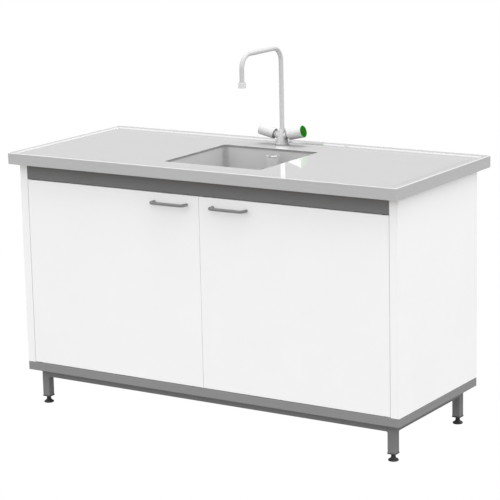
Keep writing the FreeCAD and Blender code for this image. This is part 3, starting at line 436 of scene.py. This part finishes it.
def make_materials():
    low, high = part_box("worktop_skin")
    deck_low = (low[0] + RIM_SIDE, low[1] + RIM_FRONT)
    deck_high = (high[0] - RIM_SIDE, high[1] - RIM_BACK)
    return {
        # The deck's darker border and the darkening at the foot of its rim are painted shade.
        "worktop_steel": steel("worktop_steel", grey(0.90), 0.60, 0.05, hollow_shade=(6 * MM,),
                               shaded_border=(deck_low, deck_high)),
        # Painted shade in the bowl's corners and on its walls under the rim.
        "bowl_steel": steel("bowl_steel", grey(0.62), 0.25, 0.35, (60, 60, 420),
                            hollow_shade=(16 * MM, 3.4)),
        "standpipe_steel": steel("standpipe_steel", grey(0.60), 0.2, 0.35, (420, 420, 60)),
        "white_board": melamine("white_board", grey(0.93)),
        "grey_board": melamine("grey_board", grey(0.265), 0.5, 0.02),
        # The grey board again, darker as painted shade, for the apron under the worktop's overhang.
        "apron_board": melamine("apron_board", grey(0.19), 0.5, 0.02),
        "core_board": particle_board("core_board"),
        "batten_wood": softwood("batten_wood"),
        "frame_steel": powder_coat("frame_steel", grey(0.205)),
        "hardware_steel": plated("hardware_steel", (0.56, 0.56, 0.54)),
        "handle_metal": plated("handle_metal", grey(0.27), 0.4, 0.25, 0.04),
        # Painted shade on the tap's undersides and on its sides near the deck.
        "tap_coating": powder_coat("tap_coating", grey(0.65), 0.35, 0.01, (70 * MM,)),
        "pipe_coating": powder_coat("pipe_coating", grey(0.54), 0.35, 0.01),
        "copper": plated("copper", (0.72, 0.38, 0.24), 0.3, 1.0, 0.12),
        "green_plastic": moulded("green_plastic", (0.002, 0.16, 0.002), 0.35, 0.04, specular=0.05),
        "black_plastic": foot_plastic("black_plastic", (0.035, 0.035, 0.036)),
        "cap_plastic": moulded("cap_plastic", grey(0.08), 0.5),
        "black_steel": powder_coat("black_steel", grey(0.025), 0.45),
        "white_plastic": moulded("white_plastic", (0.82, 0.82, 0.80), 0.4),
        "dark_rubber": moulded("dark_rubber", grey(0.31), 0.7, 0.1, 0.00003, 0.3),
        "dot_red": moulded("dot_red", (0.10, 0.02, 0.001), 0.45),
        "dot_blue": moulded("dot_blue", (0.005, 0.06, 0.35), 0.35),
    }


def paint_nodes():
    """Each CAD node takes its slot's material; the standpipe takes a finish of its own, and the apron a darker
    copy of the grey board, which is painted shade under the worktop.
    """
    own_finish_or_shade = {"apron": "apron_board", "standpipe": "standpipe_steel"}
    slots = {part["node"]: part["material_slot"] for part in frame["record"]["subparts"]}
    for name, thing in nodes.items():
        thing.data.materials.clear()
        thing.data.materials.append(materials[own_finish_or_shade.get(name, slots[name])])


# ------------------------------------------------------------------ pieces

def add_mesh(name, shape, smooth=False):
    """An object from a bmesh, which it frees."""
    mesh = bpy.data.meshes.new(name)
    shape.to_mesh(mesh)
    shape.free()
    if smooth:
        mesh.shade_smooth()
    thing = bpy.data.objects.new(name, mesh)
    bpy.context.scene.collection.objects.link(thing)
    return thing


def finish_piece(thing, body, paint):
    """A piece painted with one of the materials, riding on its body."""
    thing.data.materials.append(materials[paint])
    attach(thing, body)


def lathe(profile, sides=48):
    """A closed turned form from (radius, height) points, about the Z axis."""
    shape = bmesh.new()
    rings = []
    for radius, height in profile:
        points = circle(radius, sides) if radius else [(0, 0)]
        rings.append(ring(shape, points, height))
    for low, high in zip(rings, rings[1:]):
        for k in range(sides):
            following = (k + 1) % sides
            corners = [low[k % len(low)], low[following % len(low)],
                       high[following % len(high)], high[k % len(high)]]
            face = list(dict.fromkeys(corners))
            if len(face) > 2:
                shape.faces.new(face)
    return shape


def ring(shape, points, height):
    """A shape's new corners at a height, by their (x, y) points."""
    return [shape.verts.new((x, y, height)) for x, y in points]


def wall(shape, low, high):
    """Faces between two rings of as many points."""
    for k, corner in enumerate(low):
        shape.faces.new((low[k - 1], corner, high[k], high[k - 1]))


def circle(radius, sides=24):
    """The (x, y) points of a circle about the origin."""
    turns = (2 * math.pi * k / sides for k in range(sides))
    return [(radius * math.cos(turn), radius * math.sin(turn)) for turn in turns]


def screw_head(radius, rise):
    """A head with a bevelled shoulder and a cross recess, standing on z = 0."""
    shape = bmesh.new()
    arm, half, crown_radius = radius * 0.56, radius * 0.13, radius * 0.72
    recess, bevel = rise * 0.3, rise * 0.35
    quarter = [(arm, -half), (arm, half), (half, half)]
    cross = []
    for _ in range(4):
        cross += quarter
        quarter = [(-y, x) for x, y in quarter]
    foot, shoulder = ring(shape, circle(radius), 0), ring(shape, circle(radius), bevel)
    crown = ring(shape, circle(crown_radius), rise)
    mouth, bottom = ring(shape, cross, rise), ring(shape, cross, recess)
    for low, high in ((foot, shoulder), (shoulder, crown), (bottom, mouth)):
        wall(shape, low, high)
    rims = [shape.edges.get((loop[k - 1], loop[k])) for loop in (crown, mouth)
            for k in range(len(loop))]
    bmesh.ops.triangle_fill(shape, edges=rims, use_beauty=True)
    shape.faces.new(foot)
    shape.faces.new(bottom)
    bmesh.ops.recalc_face_normals(shape, faces=shape.faces)
    return shape


def stand_on(shape, point, facing):
    """Move a form that stands on z = 0 to a point of a face, upright on it."""
    turn = Vector((0, 0, 1)).rotation_difference(Vector(facing))
    shape.transform(Matrix.Translation(point) @ turn.to_matrix().to_4x4())
    return shape


def join(shapes):
    """One form from many, which it frees."""
    whole = bmesh.new()
    for shape in shapes:
        mesh = bpy.data.meshes.new("part")
        shape.to_mesh(mesh)
        shape.free()
        whole.from_mesh(mesh)
        bpy.data.meshes.remove(mesh)
    return whole


def screws(name, body, spots, radius, rise, paint="hardware_steel"):
    """Screw heads at (point, facing) spots, each turned its own way."""
    heads = []
    for number, (point, facing) in enumerate(spots):
        head = screw_head(radius, rise)
        head.transform(Matrix.Rotation(number * SCREW_TURN, 4, "Z"))
        heads.append(stand_on(head, point, facing))
    finish_piece(add_mesh(name, join(heads)), body, paint)


def door_screws():
    """The handles' screws inside the doors, and those of the catches' plates."""
    for side in ("left", "right"):
        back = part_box(f"door_{side}")[1][1]
        low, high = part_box(f"handle_{side}")
        inset = (high[2] - low[2]) / 2
        level = (high[2] + low[2]) / 2
        screws(f"handle_screws_{side}", f"door_{side}",
               [((x, back, level), (0, 1, 0)) for x in (low[0] + inset, high[0] - inset)],
               3.8 * MM, 0.9 * MM)
        low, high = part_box(f"strike_plate_{side}")
        level = (high[2] + low[2]) / 2
        screws(f"strike_screws_{side}", f"door_{side}",
               [((x, high[1], level), (0, 1, 0)) for x in (low[0] + 7 * MM, high[0] - 7 * MM)],
               2.8 * MM, 0.25 * MM)


def pivot_screws():
    """Flush screws through the wings of the doors' pivot plates."""
    plate, from_back = 2 * MM, 3.6 * MM
    spots = []
    for name, facing in (("upper_pivots", -1), ("lower_pivots", 1)):
        low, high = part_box(name)
        level = high[2] - plate if facing < 0 else low[2] + plate
        for hand in (-1, 1):
            for from_side in (6 * MM, 34 * MM):
                spots.append(((hand * (high[0] - from_side), high[1] - from_back, level),
                              (0, 0, facing)))
    screws("pivot_screws", "cabinet", spots, 2.6 * MM, 0.15 * MM, "black_steel")


def bracket_screws():
    """Two screws through each leg of the four angles under the worktop."""
    low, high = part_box("worktop_brackets")
    gauge, across, apart, half_length = 2 * MM, 27 * MM, 7.5 * MM, 15 * MM
    spots = []
    for hand in (-1, 1):
        for end in (-1, 1):
            middle = end * (high[1] - half_length)
            for y in (middle - apart, middle + apart):
                spots.append(((hand * (high[0] - across), y, high[2] - gauge), (0, 0, -1)))
                spots.append(((hand * (high[0] - gauge), y, high[2] - across), (-hand, 0, 0)))
    screws("bracket_screws", "cabinet", spots, 3.8 * MM, 2.2 * MM)


def frame_screws():
    """Screws up through the frame's rails into the base board."""
    spots = []
    for name in ("frame_rail_front", "frame_rail_rear"):
        low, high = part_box(name)
        spots += [((x, (low[1] + high[1]) / 2, low[2]), (0, 0, -1))
                  for x in (low[0] * 0.75, low[0] * 0.25, high[0] * 0.25, high[0] * 0.75)]
    screws("frame_screws", "cabinet", spots, 4.5 * MM, 2.6 * MM)


def weld_bead(start, end, radius=1.7 * MM, ripple=2.4 * MM, sides=8):
    """A rippled bead of weld between two points, four rings to a ripple."""
    start, end = Vector(start), Vector(end)
    length = (end - start).length
    steps = round(length / ripple) * 4
    shape = bmesh.new()
    rings = []
    for step in range(steps + 1):
        swell = 0.55 if step in (0, steps) else 0.86 + 0.14 * math.sin(math.pi * step / 2)
        rings.append(ring(shape, circle(radius * swell, sides), length * step / steps))
    for low, high in zip(rings, rings[1:]):
        wall(shape, low, high)
    shape.faces.new(rings[0])
    shape.faces.new(rings[-1])
    bmesh.ops.recalc_face_normals(shape, faces=shape.faces)
    return stand_on(shape, start, (end - start).normalized())


def frame_welds():
    """Beads in the corners where the rails and side bars meet the legs."""
    beads = []
    thin = 0.7 * MM  # radius of the upright beads on the outer side
    for name, inner in (("frame_rail_front", 1), ("frame_rail_rear", 0)):
        low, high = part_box(name)
        bar, inside = high[1] - low[1], (low[1], high[1])[inner]
        for x in (low[0], high[0]):
            beads.append(weld_bead((x, low[1], low[2]), (x, high[1], low[2])))
            beads.append(weld_bead((x, inside, low[2]), (x, inside, high[2])))
            outer = x + math.copysign(bar, x)
            beads.append(weld_bead((x, inside, low[2]), (outer, inside, low[2])))
            beads.append(weld_bead((outer, inside, low[2]), (outer, inside, high[2]), thin))
    finish_piece(add_mesh("frame_welds", join(beads), smooth=True), "cabinet", "frame_steel")


def aerator_screen():
    """The woven screen across the aerator's mouth, in its rim."""
    low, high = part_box("aerator")
    middle = ((low[0] + high[0]) / 2, (low[1] + high[1]) / 2)
    radius = (high[0] - low[0]) / 2
    wire, pitch, below = 0.16 * MM, 1.1 * MM, 0.25 * MM
    rim_inner, rim_height, wire_reach = radius - 0.9 * MM, 0.5 * MM, radius - 0.5 * MM
    level = low[2] - below
    rim = lathe([(rim_inner, 0), (radius, 0), (radius, rim_height), (rim_inner, rim_height),
                 (rim_inner, 0)])
    parts = [stand_on(rim, (*middle, low[2]), (0, 0, -1))]
    for number in range(-4, 5):
        across = number * pitch
        half = math.sqrt(wire_reach ** 2 - across ** 2)
        for along, side in (((1, 0), (0, 1)), ((0, 1), (1, 0))):
            ends = [(middle[0] + along[0] * end + side[0] * across,
                     middle[1] + along[1] * end + side[1] * across,
                     level + along[1] * wire) for end in (-half, half)]
            parts.append(weld_bead(*ends, radius=wire, ripple=pitch, sides=6))
    finish_piece(add_mesh("aerator_screen", join(parts)), "spout", "bowl_steel")


def index_dots():
    """The small raised dots, red for hot and blue for cold, on the knobs' green discs."""
    joints = {joint["name"]: joint for joint in frame["joints"]}
    valve_at = Vector(joints["hot_valve_turn"]["pos_m"])
    end, radius = 88.2 * MM, 5.4 * MM  # how far out the discs are, and the dots' radius
    for name, paint in (("hot", "dot_red"), ("cold", "dot_blue")):
        axis = Vector(joints[f"{name}_valve_turn"]["axis"])
        dome = lathe([(0, 0), (radius, 0), (radius, 0.25 * MM), (radius * 0.8, 0.5 * MM),
                      (radius * 0.4, 0.65 * MM), (0, 0.7 * MM)])
        stand_on(dome, valve_at + axis * end, axis)
        dot = add_mesh(f"index_dot_{name}", dome)
        finish_piece(dot, f"knob_{name}", paint)


make_camera()
make_light()
make_floor()
materials = make_materials()
paint_nodes()
index_dots()
door_screws()
pivot_screws()
bracket_screws()
frame_screws()
frame_welds()
aerator_screen()
bpy.context.scene.view_settings.view_transform = "Standard"
